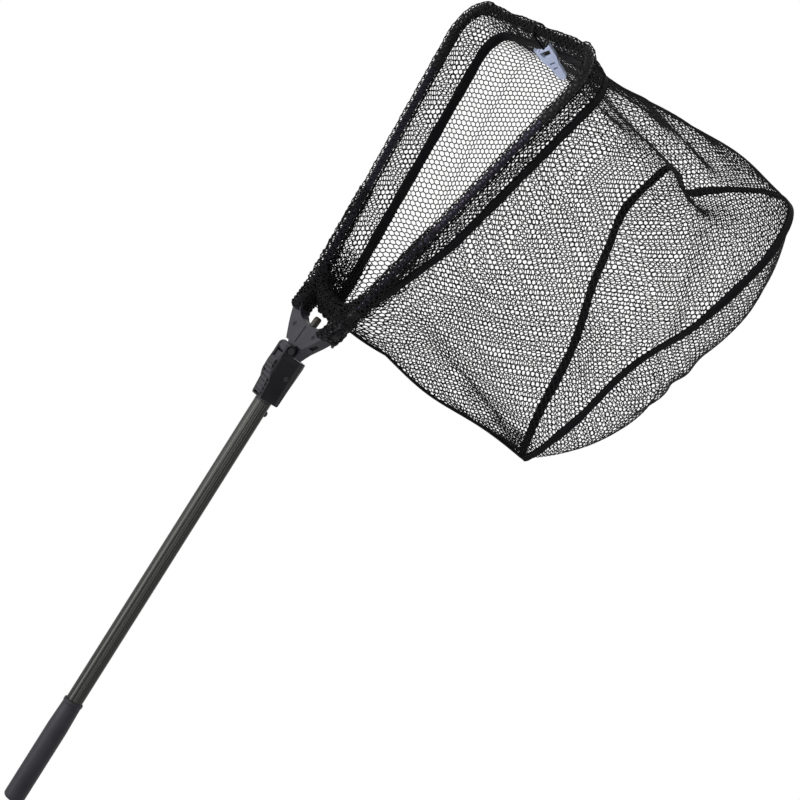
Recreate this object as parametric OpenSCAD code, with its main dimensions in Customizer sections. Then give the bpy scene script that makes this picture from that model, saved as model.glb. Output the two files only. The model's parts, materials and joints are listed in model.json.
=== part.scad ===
// Landing net: a telescopic handle, a folding collar, a two-arm triangular hoop and a deep mesh bag.
// X runs along the handle towards the hoop, Y across the hoop, and the bag hangs towards -Z.
// The origin is the middle of the grip's straight part, on the handle's axis.

/* [Grip] */
// Whole length of the grip
grip_len = 130; // [115:1:160]
// Diameter of the straight rear part, where a hand or a holder closes on it
grip_d = 24; // [23:0.1:28]
// Length of that straight part
hold_len = 90; // [75:1:100]
// Diameter at the slim front end, behind the lip
grip_front_d = 21.8; // [21.2:0.1:23]
// Diameter of the lip at the front end
grip_lip_d = 23; // [22:0.1:26]

/* [Handle tubes] */
// Outer diameter of the fluted outer tube
tube_d = 19.4; // [18.8:0.1:20.2]
// Wall of the outer tube
tube_wall = 0.9; // [0.8:0.05:1]
// Length of outer tube seen between the grip and the collar
tube_seen = 388; // [300:1:470]
// Count of flutes round the tube
flute_count = 22; // [12:1:26]
// Diameter of the inner tube
inner_d = 16.4; // [15.8:0.1:16.6]
// Wall of the inner tube
inner_wall = 0.9; // [0.7:0.05:1]
// Length of inner tube inside the outer one when closed
inner_len = 330; // [250:1:350]
// Running clearance of the bushes, on the radius
run_gap = 0.05; // [0.02:0.01:0.1]

/* [Snap button] */
// Diameter of the button
button_d = 7; // [6:0.1:7.4]
// How far it stands out of the tube
button_out = 2.7; // [2:0.1:3.5]
// Distance from the button to the outer tube's mouth
button_back = 10.5; // [9:0.5:14]

/* [Collar and latch] */
// Length of the collar, from its rear end to its front face
collar_len = 55; // [50:1:62]
// Width of the collar across the handle
collar_w = 26; // [25:0.5:29]
// Depth of the collar's belly below the axis
collar_belly = 18; // [16:0.1:19]
// Height of the latch lever's crown above the axis
lever_top = 18.8; // [18.4:0.1:20.5]
// Width of the thumb part of the lever
lever_w = 16; // [13:0.5:16.4]
// Count of ribs on the thumb part
rib_count = 7; // [4:1:9]
// Height of the fold pin above the axis
fold_h = 10; // [9.5:0.1:11]
// Diameter of the fold pin
fold_pin_d = 5; // [4:0.1:5.6]
// How far the hoop leans down at rest, in degrees
tilt = 5; // [0:0.5:8]

/* [Fork] */
// Thickness of the fork
fork_t = 13; // [12.6:0.1:14.4]
// Distance of each arm pivot from the middle
pivot_y = 50; // [48:0.5:56]
// Diameter of the arm pivot pins
pivot_pin_d = 5; // [4:0.1:5.6]
// Diameter of the plunger in the notch
plunger_d = 8.4; // [7.4:0.1:8.6]
// Travel of the plunger
plunger_travel = 6; // [3:0.5:6.5]

/* [Hoop] */
// Length from the arm pivots to the far side
hoop_len = 393; // [330:1:470]
// Angle of each arm away from the middle line, in degrees
arm_a = 15.5; // [13:0.5:18]
// Diameter of the arm tubes
arm_d = 8; // [7:0.1:8.4]
// Diameter of the corner elbows
elbow_d = 9.8; // [9.6:0.1:10.2]
// Bend radius of the elbows
elbow_r = 35; // [30:1:45]
// Length of straight elbow before the bend
elbow_straight = 46; // [34:1:60]
// Diameter of the cord across the far side
cord_d = 4.6; // [3:0.1:5]

/* [Bag] */
// Depth of the side walls
bag_depth = 324; // [250:1:380]
// Depth of the belly below the side walls
belly = 88; // [60:1:110]
// How far the hem reaches back past the apex of the hoop
hem_back = 13; // [0:1:20]
// How far the hem reaches out past the far side of the hoop
hem_out = 32; // [0:1:40]
// Width of the seam tapes
tape_w = 9; // [6:0.5:11]
// Depth at which the upper tape starts
tape_z = 35; // [32:1:45]
// Thickness of the mesh walls
mesh_t = 1.2; // [1:0.1:1.6]

/* [Stow clip] */
// Length of the clip
clip_len = 47; // [40:1:52]
// Width of the clip
clip_w = 20; // [17:0.5:24]
// Thickness of the clip
clip_t = 4.6; // [3.6:0.1:6]
// How far the clip's lanyard sits to the near side of the middle
clip_off = 8; // [0:1:20]
// Angle that the clip is turned on its lanyard
clip_turn = 42; // [0:1:60]

/* [Hidden] */
$fn = 64;
butt_round = 5;
butt_x = -hold_len / 2 - butt_round;
grip_x = butt_x + grip_len;
mouth_x = grip_x + tube_seen;
tr = tube_d / 2;
ti = tr - tube_wall;
ir = inner_d / 2;
channel_w = 8.6;
channel_z = 4.9;
button_x = mouth_x - button_back;
collar_x = mouth_x + 3;
front_x = collar_x + collar_len;
fold_x = front_x + 6;
well_z = ir + 1.4;
lever_x = front_x - 20;
lever_z = 14;
plate_x = fold_x + 6;
pivot_x = fold_x + 44;
prong_x = pivot_x + 20;
notch_x = pivot_x - 10;
half_t = fork_t / 2;
rivet_r = 1.2;
screw_x = plate_x + 20;
screw_y = 27;
rivet_head_r = 1.9;
eye_t = 7;
slot_t = 7.4;
slope = tan(arm_a);
far_x = pivot_x + hoop_len;
far_y = pivot_y + slope * hoop_len;
turn = 90 + arm_a;
tangent = elbow_r * tan(turn / 2);
arc_t = hoop_len / cos(arm_a) - tangent;
arc_y = far_y - tangent;
elbow_t = arc_t - elbow_straight;
tip_y = arc_y;
apex_x = pivot_x + 22;
join_x = pivot_x + 149;
rim_z = 6.9;
sleeve_r = elbow_d / 2 + 1.2;
mid_x = apex_x + 0.465 * (far_x - apex_x);

// Shapes used by several parts.
module along_x(x) translate([x, 0, 0]) rotate([90, 0, 90]) children();
module rod_x(r, x0, x1) translate([x0, 0, 0]) rotate([0, 90, 0]) cylinder(r = r, h = x1 - x0);
module rod_y(r, x, z, y0, y1) translate([x, y0, z]) rotate([-90, 0, 0]) cylinder(r = r, h = y1 - y0);
module side_plate(points, y0, y1) translate([0, y1, 0]) rotate([90, 0, 0]) linear_extrude(y1 - y0) polygon(points);
module block(x, y, z) translate([x[0], y[0], z[0]]) cube([x[1] - x[0], y[1] - y[0], z[1] - z[0]]);
module twin() { children(); mirror([0, 1, 0]) children(); }
module right_side() mirror([0, 1, 0]) children();

// Everything forward of the fold pin leans with the hoop.
module head() translate([fold_x, 0, fold_h]) rotate([0, tilt, 0]) translate([-fold_x, 0, -fold_h]) children();
// An arm's own line: x is the distance from its pivot.
module arm() translate([pivot_x, pivot_y, 0]) rotate([0, 0, arm_a]) children();

module grip() color([0.09, 0.08, 0.1]) difference() {
  rotate([0, 90, 0]) rotate_extrude() polygon(concat(
    [[0, butt_x]],
    [for (a = [0:15:90]) [grip_d / 2 - butt_round + butt_round * sin(a), butt_x + butt_round - butt_round * cos(a)]],
    [[grip_d / 2, butt_x + butt_round + hold_len],
     [grip_front_d / 2, grip_x - 6], [grip_lip_d / 2 - 0.4, grip_x - 4.6], [grip_lip_d / 2, grip_x - 3.8],
     [grip_lip_d / 2, grip_x - 0.8], [grip_lip_d / 2 - 0.8, grip_x], [0, grip_x]]));
  rod_x(tr, butt_x + 4, grip_x + 1);
}

module outer_tube() color([0.2, 0.2, 0.22]) difference() {
  along_x(butt_x + 4) linear_extrude(mouth_x - butt_x - 4) difference() {
    circle(r = tr);
    circle(r = ti);
    for (i = [0:flute_count - 1]) rotate(i * 360 / flute_count) translate([tr + 0.35, 0]) circle(r = 0.65, $fn = 16);
  }
  translate([button_x, 0, -tr - 2]) cylinder(r = button_d / 2 + run_gap, h = 4);
}

module mouth_bush() color([0.06, 0.06, 0.06]) difference() {
  union() {
    rod_x(ti, mouth_x - 20, mouth_x);
    rod_x(tr, mouth_x, mouth_x + 2);
  }
  rod_x(ir + run_gap, mouth_x - 21, mouth_x + 3);
  translate([button_x, 0, -tr - 2]) cylinder(r = button_d / 2 + run_gap, h = 5);
}

// The inner tube's section, with a channel along its lower side for the button's foot.
module inner_section(r, hole) difference() {
  union() {
    difference() { circle(r = r); circle(r = hole); }
    intersection() {
      circle(r = r);
      translate([-channel_w / 2 - inner_wall, -r]) square([channel_w + 2 * inner_wall, r - channel_z + inner_wall]);
    }
  }
  translate([-channel_w / 2, -r - 1]) square([channel_w, r + 1 - channel_z]);
}

module inner_tube() color([0.35, 0.35, 0.37])
  along_x(mouth_x - inner_len) linear_extrude(inner_len + 42) inner_section(ir, ir - inner_wall);

module slide_bush() color([0.06, 0.06, 0.06])
  along_x(mouth_x - inner_len - 2) linear_extrude(20) difference() {
    circle(r = ti - run_gap);
    circle(r = ir);
    translate([-channel_w / 2, -ti - 1]) square([channel_w, ti + 1 - channel_z]);
  }

module snap_button() color([0.1, 0.1, 0.1]) {
  translate([button_x, 0, -tr - button_out]) rotate_extrude() polygon([[0, 0], [button_d / 2 - 1.4, 0],
    [button_d / 2 - 0.4, 0.5], [button_d / 2, 1.5], [button_d / 2, tr + button_out - 6.6], [0, tr + button_out - 6.6]]);
  block([button_x - 5, button_x + 5], [-3.7, 3.7], [-7.2, -6.55]);
}

module button_spring() color([0.6, 0.6, 0.62]) side_plate([[button_x + 9.6, -7.84], [button_x + 7, -7.84],
  [button_x + 5.3, -6.54], [button_x - 4, -6.54], [button_x - 4, -6.24], [button_x + 5.5, -6.24],
  [button_x + 7.4, -7.5], [button_x + 9.6, -7.5]], -2.5, 2.5);

module collar() color([0.1, 0.1, 0.1]) difference() {
  union() {
    intersection() {
      side_plate([[collar_x, -13], [collar_x + 1.5, -14], [collar_x + 20, -14.8], [front_x - 6, -collar_belly],
        [front_x, -collar_belly + 1], [front_x, 13], [front_x - 6, 16], [lever_x + 6, 17], [lever_x - 6, 16.6],
        [collar_x + 20, 13], [collar_x + 1.5, 11.8], [collar_x, 11.2]], -30, 30);
      translate([0, 0, -30]) linear_extrude(60) polygon(concat(
        [for (p = [[collar_x, 11.6], [collar_x + 1.5, 12.4], [lever_x - 6, collar_w / 2], [front_x - 5, collar_w / 2], [front_x, collar_w / 2 - 1]]) p],
        [for (p = [[front_x, 1 - collar_w / 2], [front_x - 5, -collar_w / 2], [lever_x - 6, -collar_w / 2], [collar_x + 1.5, -12.4], [collar_x, -11.6]]) p]));
      along_x(collar_x - 1) linear_extrude(collar_len + 2) polygon([[-collar_w / 2, 15], [-collar_w / 2, -7],
        [-9.5, -14.2], [-6, -collar_belly], [6, -collar_belly], [9.5, -14.2], [collar_w / 2, -7], [collar_w / 2, 15],
        [collar_w / 2 - 2, 17.6], [2 - collar_w / 2, 17.6]]);
    }
    twin() {
      rod_y(6, fold_x, fold_h, 7.3, collar_w / 2 - 1);
      block([front_x - 6, fold_x], [7.3, collar_w / 2 - 1], [fold_h - 6, fold_h + 6]);
      block([front_x - 6, front_x], [7.3, collar_w / 2 - 1], [0, fold_h]);
    }
  }
  rod_x(ir, collar_x - 1, mouth_x + 42);
  block([collar_x + 2, front_x - 6.5], [-lever_w / 2 - 0.3, lever_w / 2 + 0.3], [well_z, 30]);
  block([front_x - 7, fold_x + 10], [-7.3, 7.3], [12, 30]);
  block([front_x, fold_x + 10], [-7.3, 7.3], [-30, 30]);
  rod_y(6.3, fold_x, fold_h, -7.3, 7.3);
  rod_y(1.5, lever_x, lever_z, -20, 20);
  rod_y(fold_pin_d / 2, fold_x, fold_h, -20, 20);
  rod_y(2, collar_x + 32, -2, -20, 20);
  for (i = [0:2]) twin() block([collar_x + 8 + 5 * i, collar_x + 10 + 5 * i], [collar_w / 2 - 0.9, 20], [-5, 5]);
}

module collar_pin() color([0.45, 0.45, 0.47]) difference() {
  union() {
    rod_y(2, collar_x + 32, -2, -collar_w / 2 - 0.6, collar_w / 2 + 0.6);
    twin() rod_y(3.2, collar_x + 32, -2, collar_w / 2, collar_w / 2 + 0.9);
  }
  intersection() {
    rod_x(ir + 0.02, collar_x, mouth_x + 42);
    rod_y(3, collar_x + 32, -2, -ir, ir);
  }
}

// The lever's upper side, as heights along it.
function lever_height(x) = lookup(x, [[collar_x + 4.5, 12.9], [collar_x + 14, 13.5], [collar_x + 25, 15], [lever_x, 17.6],
  [lever_x + 5, lever_top], [lever_x + 9, 17.9], [lever_x + 12, 15.6]]);
lever_marks = [collar_x + 4.5, collar_x + 14, collar_x + 25, lever_x, lever_x + 5, lever_x + 9, lever_x + 12];

module latch_lever() color([0.11, 0.11, 0.12]) difference() {
  union() {
    side_plate(concat([[lever_x + 12, 12], [lever_x, 11.9], [collar_x + 4.5, 11.7]], [for (x = lever_marks) [x, lever_height(x)]]),
      -lever_w / 2, lever_w / 2);
    block([lever_x + 10, front_x - 0.6], [-6.5, 6.5], [12, 14.9]);
  }
  for (i = [0:rib_count - 1]) let (x = collar_x + 6.6 + i * 37 / rib_count)
    side_plate([[x, lever_height(x) - 1], [x + 2, lever_height(x + 2) - 1], [x + 2.3, 30], [x - 0.3, 30]], -20, 20);
  rod_y(1.55, lever_x, lever_z, -20, 20);
}

module lever_pin() color([0.5, 0.5, 0.52]) rod_y(1.5, lever_x, lever_z, 0.4 - collar_w / 2, collar_w / 2 - 0.4);

module lever_spring() color([0.6, 0.6, 0.62]) side_plate([[lever_x - 2, well_z], [lever_x - 12, well_z], [lever_x - 20, 11.2],
  [lever_x - 28, 11.1], [lever_x - 28, 11.45], [lever_x - 19.8, 11.6], [lever_x - 11.8, well_z + 0.4], [lever_x - 2, well_z + 0.4]], -3, 3);

module fold_pin() color([0.5, 0.5, 0.52]) {
  rod_y(fold_pin_d / 2, fold_x, fold_h, 1 - collar_w / 2, collar_w / 2 - 1);
  twin() rod_y(3.9, fold_x, fold_h, collar_w / 2 - 1, collar_w / 2 + 0.2);
}

// One half of the fork's outline seen from above.
function fork_half() = [[front_x + 1.9, 13.5], [plate_x - 2, 19.5], [plate_x + 3, 23.5], [plate_x + 10, 31], [plate_x + 17, 38.5],
  [plate_x + 25, 46], [plate_x + 32, 52], [pivot_x + 1, pivot_y + 6.6], [pivot_x + 9, pivot_y + 8.8], [prong_x - 2, pivot_y + 8.6],
  [prong_x, pivot_y + 6.6], [prong_x, pivot_y - 7], [prong_x - 2, pivot_y - 8.6], [pivot_x + 6, pivot_y - 9.5],
  [pivot_x - 2, pivot_y - 15], [pivot_x - 7, pivot_y - 25], [notch_x + 0.8, 13], [notch_x, 7]];
function back(p) = [for (i = [len(p) - 1:-1:0]) [p[i][0], -p[i][1]]];

module fork_plate(z0, z1) translate([0, 0, z0]) linear_extrude(z1 - z0) polygon(concat(fork_half(), back(fork_half())));

module fork_holes() {
  rod_x(plunger_d / 2 + 0.9, plate_x + 8, notch_x - 6);
  rod_x(plunger_d / 2 + run_gap, notch_x - 7, notch_x + 5);
  twin() {
    translate([pivot_x, pivot_y, -slot_t / 2]) cylinder(r = 8.6, h = slot_t);
    block([pivot_x, prong_x + 5], [pivot_y - 14, pivot_y + 14], [-slot_t / 2, slot_t / 2]);
    translate([pivot_x, pivot_y, -20]) cylinder(r = pivot_pin_d / 2, h = 40);
    translate([screw_x, screw_y, -20]) cylinder(r = 1.5, h = 40);
    translate([screw_x, screw_y, half_t - 1.4]) cylinder(r = 3.2, h = 5);
  }
  translate([0, 0, half_t - 0.7]) linear_extrude(5) polygon([[plate_x + 4, -1], [notch_x - 3, -2.6], [notch_x - 3, 2.6], [plate_x + 4, 1]]);
  twin() translate([plate_x + 11.5, 32.6, 0]) rotate([0, 0, 46]) block([-5.5, 5.5], [-2.4, 6], [-2.4, 3.4]);
}

module fork() color([0.17, 0.17, 0.18]) head() difference() {
  union() {
    fork_plate(-half_t, 0);
    intersection() {
      fork_plate(-half_t, 2.6);
      block([front_x, plate_x + 2], [-40, 40], [-half_t, 2.6]);
    }
    block([fold_x, plate_x + 2], [-7, 7], [-half_t, half_t]);
    rod_y(6, fold_x, fold_h, -7, 7);
    block([fold_x - 3, fold_x + 4.6], [-7, 7], [0, fold_h - 2]);
  }
  rod_y(fold_pin_d / 2 + 0.05, fold_x, fold_h, -20, 20);
  fork_holes();
}

module fork_cover() color([0.19, 0.19, 0.2]) head() difference() {
  intersection() {
    fork_plate(0, half_t);
    union() {
      translate([plate_x + 2, -80, 0]) cube([200, 160, half_t]);
    }
  }
  fork_holes();
}

module fork_screws() color([0.45, 0.45, 0.47]) head() twin() translate([screw_x, screw_y, 0]) difference() {
  union() {
    translate([0, 0, 0.8 - half_t]) cylinder(r = 1.5, h = fork_t - 2);
    translate([0, 0, half_t - 1.4]) cylinder(r = 3.2, h = 1.7);
  }
  for (a = [0, 90]) rotate(a) translate([-1.9, -0.45, half_t - 0.5]) cube([3.8, 0.9, 2]);
}

module plunger() color([0.14, 0.12, 0.11]) head() translate([notch_x, 0, 0]) rotate([0, 90, 0]) rotate_extrude() polygon(concat(
  [[0, -9.4], [plunger_d / 2 + 0.8, -9.4], [plunger_d / 2 + 0.8, -6.4], [plunger_d / 2, -6.4]],
  [for (a = [0:15:90]) [plunger_d / 2 - 2.5 + 2.5 * cos(a), 10.3 + 2.5 * sin(a)]], [[0, 12.8]]));

module plunger_spring() color([0.6, 0.6, 0.62]) head() translate([plate_x + 8.1, 0, 0]) rotate([0, 90, 0])
  let (h = notch_x - 9.5 - plate_x - 8.1, n = 4, w = h / n) rotate_extrude() polygon(concat(
    [for (i = [0:2 * n]) [i % 2 == 0 ? 4.1 : 3.1, i * w / 2]], [for (i = [2 * n:-1:0]) [i % 2 == 0 ? 3.4 : 2.4, i * w / 2]]));

module pivot_pin() color([0.5, 0.5, 0.52]) translate([pivot_x, pivot_y, 0]) {
  translate([0, 0, -half_t]) cylinder(r = pivot_pin_d / 2, h = fork_t);
  for (s = [0, 1]) mirror([0, 0, s]) translate([0, 0, half_t]) rotate_extrude()
    polygon([[0, 0], [4.2, 0], [4.2, 0.5], [3.4, 1.1], [0, 1.3]]);
}

// A rivet's hole and the flat seats of its two heads.
module rivet_seat(x, r) {
  translate([x, 0, -20]) cylinder(r = rivet_r, h = 40);
  for (s = [0, 1]) mirror([0, 0, s]) translate([x, 0, r - 0.3]) cylinder(r = rivet_head_r, h = 5);
}

module socket() color([0.09, 0.09, 0.09]) arm() difference() {
  union() {
    translate([0, 0, -eye_t / 2]) cylinder(r = 8, h = eye_t);
    block([0, 24], [-5.4, 5.4], [-eye_t / 2, eye_t / 2]);
    rotate([0, 90, 0]) rotate_extrude() polygon([[0, 22.4], [5.2, 22.4], [5.8, 23.2], [5.8, 35], [5.2, 36], [0, 36]]);
  }
  translate([0, 0, -20]) cylinder(r = pivot_pin_d / 2 + 0.05, h = 40);
  rod_x(arm_d / 2, 24, 40);
  rivet_seat(30, 5.8);
}

module arm_tube() color([0.3, 0.28, 0.33]) arm() difference() {
  rod_x(arm_d / 2, 24, elbow_t + 25);
  rod_x(arm_d / 2 - 0.8, 23, elbow_t + 26);
  translate([30, 0, -20]) cylinder(r = rivet_r, h = 40);
  translate([elbow_t + 12, 0, -20]) cylinder(r = rivet_r, h = 40);
}

module elbow() color([0.07, 0.07, 0.07]) arm() difference() {
  union() {
    rod_x(elbow_d / 2, elbow_t, arc_t);
    translate([arc_t, -elbow_r, 0]) rotate([0, 0, 90]) mirror([0, 1, 0]) rotate_extrude(angle = turn, $fn = 128)
      translate([elbow_r, 0]) circle(r = elbow_d / 2);
  }
  rod_x(arm_d / 2, elbow_t - 1, elbow_t + 25);
  rivet_seat(elbow_t + 12, elbow_d / 2);
}

module rivets() color([0.5, 0.5, 0.52]) arm() for (x = [[30, 5.8], [elbow_t + 12, elbow_d / 2]]) {
  translate([x[0], 0, -x[1]]) cylinder(r = rivet_r, h = 2 * x[1]);
  for (s = [0, 1]) mirror([0, 0, s]) translate([x[0], 0, x[1] - 0.3]) cylinder(r = rivet_head_r, h = 0.8);
}

module sleeve() color([0.12, 0.12, 0.13]) arm() difference() {
  rod_x(sleeve_r, 37, arc_t);
  rod_x(elbow_d / 2 + 0.35, 36, arc_t + 1);
  for (s = [0, 1]) mirror([0, 0, s]) translate([elbow_t + 12, 0, 0]) cylinder(r = 2.3, h = 20);
}

module left_pivot_pin() head() pivot_pin();
module right_pivot_pin() head() right_side() pivot_pin();
module left_socket() head() socket();
module right_socket() head() right_side() socket();
module left_arm_tube() head() arm_tube();
module right_arm_tube() head() right_side() arm_tube();
module left_elbow() head() elbow();
module right_elbow() head() right_side() elbow();
module left_rivets() head() rivets();
module right_rivets() head() right_side() rivets();
module left_sleeve() head() sleeve();
module right_sleeve() head() right_side() sleeve();

module front_cord() color([0.08, 0.08, 0.08]) head() rod_y(cord_d / 2, far_x, 0, 0.3 - tip_y, tip_y - 0.3);

module front_sleeve() color([0.12, 0.12, 0.13]) head() difference() {
  rod_y(sleeve_r, far_x, 0, 0.5 - tip_y, tip_y - 0.5);
  rod_y(cord_d / 2 + 0.2, far_x, 0, -tip_y, tip_y);
}

// Bag outline, seen from above: half of it from the apex at the fork round to the middle of the far side.
function arm_line(x) = pivot_y + slope * (x - pivot_x);
function sharp_half() = [for (p = [[0, 0], [0.09, 0.175], [0.21, 0.33], [0.37, 0.49], [0.55, 0.66], [0.76, 0.84], [1, 1]])
  [apex_x + p[0] * (join_x - apex_x), p[1] * arm_line(join_x)]];
function blunt_half() = [[apex_x - 10, 0], [apex_x - 9, 20], [apex_x - 5, 38], [apex_x + 8, arm_line(apex_x + 8)],
  [apex_x + 40, arm_line(apex_x + 40)], [apex_x + 80, arm_line(apex_x + 80)], [join_x, arm_line(join_x)]];
arc_x = far_x - elbow_r - elbow_r * sin(arm_a);
rest_half = concat(
  [for (i = [1:5]) let (x = join_x + (arc_x - join_x) * i / 5) [x, arm_line(x)]],
  [for (i = [1:6]) let (a = turn * (1 - i / 6)) [far_x - elbow_r + elbow_r * cos(a), arc_y + elbow_r * sin(a)]],
  [for (i = [1:4]) [far_x, arc_y * (1 - i / 4)]]);
function ring(f) = let (
    head_part = [for (i = [0:6]) sharp_half()[i] * f + blunt_half()[i] * (1 - f)],
    half = concat(head_part, rest_half), n = len(half))
  concat(half, [for (i = [n - 2:-1:1]) [half[i][0], -half[i][1]]]);
function moved(p, d) = let (n = len(p)) [for (i = [0:n - 1])
  let (t = p[(i + 1) % n] - p[(i + n - 1) % n], u = t / norm(t)) p[i] + d * [-u[1], u[0]]];
function lifted(p, z) = [for (q = p) [q[0], q[1], z]];
flare_z = tape_z + tape_w + 1;
function flared(p, u) = [for (q = p) [q[0] - hem_back * u + (q[0] - apex_x) / (far_x - apex_x) * (hem_back + hem_out) * u, q[1] * (1 + 0.03 * u)]];
levels = [[-rim_z, 0, 0], [-rim_z - 9, 0.33, 0], [-rim_z - 18, 0.67, 0], [-rim_z - 27, 1, 0], [-flare_z, 1, 0],
  [-flare_z - 0.33 * (bag_depth - flare_z), 1, 0.33], [-flare_z - 0.67 * (bag_depth - flare_z), 1, 0.67], [-bag_depth, 1, 1]];

// A thin closed solid between two grids of points with the same rows and columns.
module sheet(a, b) {
  r = len(a);
  c = len(a[0]);
  n = r * c;
  function at(i, j) = i * c + j;
  polyhedron(points = concat([for (row = a) each row], [for (row = b) each row]), convexity = 6, faces = concat(
    [for (i = [0:r - 2], j = [0:c - 2]) each [[at(i, j), at(i, j + 1), at(i + 1, j + 1)], [at(i, j), at(i + 1, j + 1), at(i + 1, j)]]],
    [for (i = [0:r - 2], j = [0:c - 2]) each [[n + at(i, j), n + at(i + 1, j + 1), n + at(i, j + 1)], [n + at(i, j), n + at(i + 1, j), n + at(i + 1, j + 1)]]],
    [for (j = [0:c - 2]) each [[at(0, j), n + at(0, j), n + at(0, j + 1)], [at(0, j), n + at(0, j + 1), at(0, j + 1)]]],
    [for (j = [0:c - 2]) each [[at(r - 1, j), at(r - 1, j + 1), n + at(r - 1, j + 1)], [at(r - 1, j), n + at(r - 1, j + 1), n + at(r - 1, j)]]],
    [for (i = [0:r - 2]) each [[at(i, 0), at(i + 1, 0), n + at(i + 1, 0)], [at(i, 0), n + at(i + 1, 0), n + at(i, 0)]]],
    [for (i = [0:r - 2]) each [[at(i, c - 1), n + at(i, c - 1), n + at(i + 1, c - 1)], [at(i, c - 1), n + at(i + 1, c - 1), at(i + 1, c - 1)]]]));
}

module wall(first, last) sheet(
  [for (l = levels) [for (i = [first:last]) lifted(flared(ring(l[1]), l[2]), l[0])[i]]],
  [for (l = levels) [for (i = [first:last]) lifted(moved(flared(ring(l[1]), l[2]), -mesh_t), l[0])[i]]]);

module left_wall() color([0.13, 0.13, 0.14]) head() wall(0, 11);
module right_wall() color([0.13, 0.13, 0.14]) head() mirror([0, 1, 0]) wall(0, 11);
module end_wall() color([0.13, 0.13, 0.14]) head() difference() {
  wall(11, 31);
  block([far_x - 12, far_x + 12], [-clip_off - 7, 7 - clip_off], [-13, 5]);
}

// The belly: rings that shrink to the middle while they sink.
module belly_panel() {
  outline = flared(ring(1), 1);
  n = len(outline);
  shares = [1, 0.93, 0.85, 0.75, 0.64, 0.5, 0.35, 0.2, 0.07];
  m = len(shares);
  function row(s, drop) = [for (p = outline) [mid_x + s * (p[0] - mid_x), s * p[1], -bag_depth - drop - belly * (1 - s * s * s)]];
  pts = concat([for (s = shares) each row(s, 0.05)], [for (s = shares) each row(s, 2)]);
  function at(i, j) = i * n + j % n;
  color([0.13, 0.13, 0.14]) head() polyhedron(points = pts, convexity = 6, faces = concat(
    [for (i = [0:m - 2], j = [0:n - 1]) each [[at(i, j), at(i, j + 1), at(i + 1, j + 1)], [at(i, j), at(i + 1, j + 1), at(i + 1, j)]]],
    [for (i = [0:m - 2], j = [0:n - 1]) each [[m * n + at(i, j), m * n + at(i + 1, j + 1), m * n + at(i, j + 1)], [m * n + at(i, j), m * n + at(i + 1, j), m * n + at(i + 1, j + 1)]]],
    [for (j = [0:n - 1]) each [[at(0, j), m * n + at(0, j), m * n + at(0, j + 1)], [at(0, j), m * n + at(0, j + 1), at(0, j + 1)]]],
    [[for (j = [0:n - 1]) at(m - 1, j)]], [[for (j = [n - 1:-1:0]) m * n + at(m - 1, j)]]));
}

module tape(z, u) color([0.05, 0.05, 0.05]) head() translate([0, 0, -z - tape_w]) linear_extrude(tape_w) difference() {
  polygon(moved(flared(ring(1), u), 1.35));
  polygon(moved(flared(ring(1), u), 0.35));
}
module seam_tape() tape(tape_z, 0);
module hem_tape() tape(bag_depth - tape_w / 2, 1);
module apex_tape() color([0.05, 0.05, 0.05]) head()
  let (z0 = -tape_z - tape_w - 0.3, z1 = -bag_depth + tape_w / 2 + 0.3) side_plate([[apex_x - 1.4, z0], [apex_x - 0.5, z0],
    [apex_x - 0.5, -flare_z], [apex_x - hem_back - 0.5, z1], [apex_x - hem_back - 1.4, z1], [apex_x - 1.4, -flare_z]], -3, 3);

// The clip hangs from the far side's cord, inside the bag, on a short lanyard round the cord.
module hang() translate([far_x, -clip_off, 0]) rotate([0, 12, 0]) children();
lanyard_x = -sleeve_r - 1.8;
lanyard_z = -24;
module lanyard_end() translate([lanyard_x, 0, lanyard_z]) cylinder(r = 1.4, h = -lanyard_z);

module clip_strap() color([0.07, 0.07, 0.08]) head() hang() {
  rotate([90, 0, 0]) translate([0, 0, -3]) linear_extrude(6) difference() {
    circle(r = sleeve_r + 1.3);
    circle(r = sleeve_r + 0.3);
  }
  lanyard_end();
}

module stow_clip() color([0.62, 0.66, 0.78]) head() hang() difference() {
  translate([lanyard_x, 0, lanyard_z + 3]) rotate([0, 0, clip_turn]) rotate([0, -90, 0]) translate([0, 0, -clip_t / 2]) difference() {
    linear_extrude(clip_t) polygon(concat(
      [[3, clip_w / 2], [0, clip_w / 2 - 2], [0, 2 - clip_w / 2], [3, -clip_w / 2]],
      [[-14, -clip_w / 2 + 0.5], [-24, -clip_w / 2 + 4], [-clip_len + 6, -4.6], [-clip_len + 3, -2.4], [-clip_len + 3, 2.4], [-clip_len + 6, 4.6],
       [-24, clip_w / 2 - 4], [-14, clip_w / 2 - 0.5]]));
    translate([0, 0, -1]) linear_extrude(clip_t + 2) polygon([[-3.4, -6.6], [-3.4, 6.6], [-11, 4.6], [-11, -4.6]]);
    translate([0, 0, -1]) linear_extrude(clip_t + 2) polygon([[0.6, -5.4], [0.6, 5.4], [-1.2, 5.4], [-1.2, -5.4]]);
    translate([-22, -3.4, -1]) cube([2.4, 6.8, clip_t + 2]);
    translate([-29, -2.6, -1]) cube([2.4, 5.2, clip_t + 2]);
  }
  lanyard_end();
}

grip();
outer_tube();
mouth_bush();
snap_button();
button_spring();
inner_tube();
slide_bush();
collar();
collar_pin();
latch_lever();
lever_pin();
lever_spring();
fold_pin();
fork();
fork_cover();
fork_screws();
plunger();
plunger_spring();
left_pivot_pin();
right_pivot_pin();
left_socket();
right_socket();
left_arm_tube();
right_arm_tube();
left_elbow();
right_elbow();
left_rivets();
right_rivets();
left_sleeve();
right_sleeve();
front_cord();
front_sleeve();
left_wall();
right_wall();
end_wall();
belly_panel();
seam_tape();
hem_tape();
apex_tape();
clip_strap();
stow_clip();
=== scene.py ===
import json
import math

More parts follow.
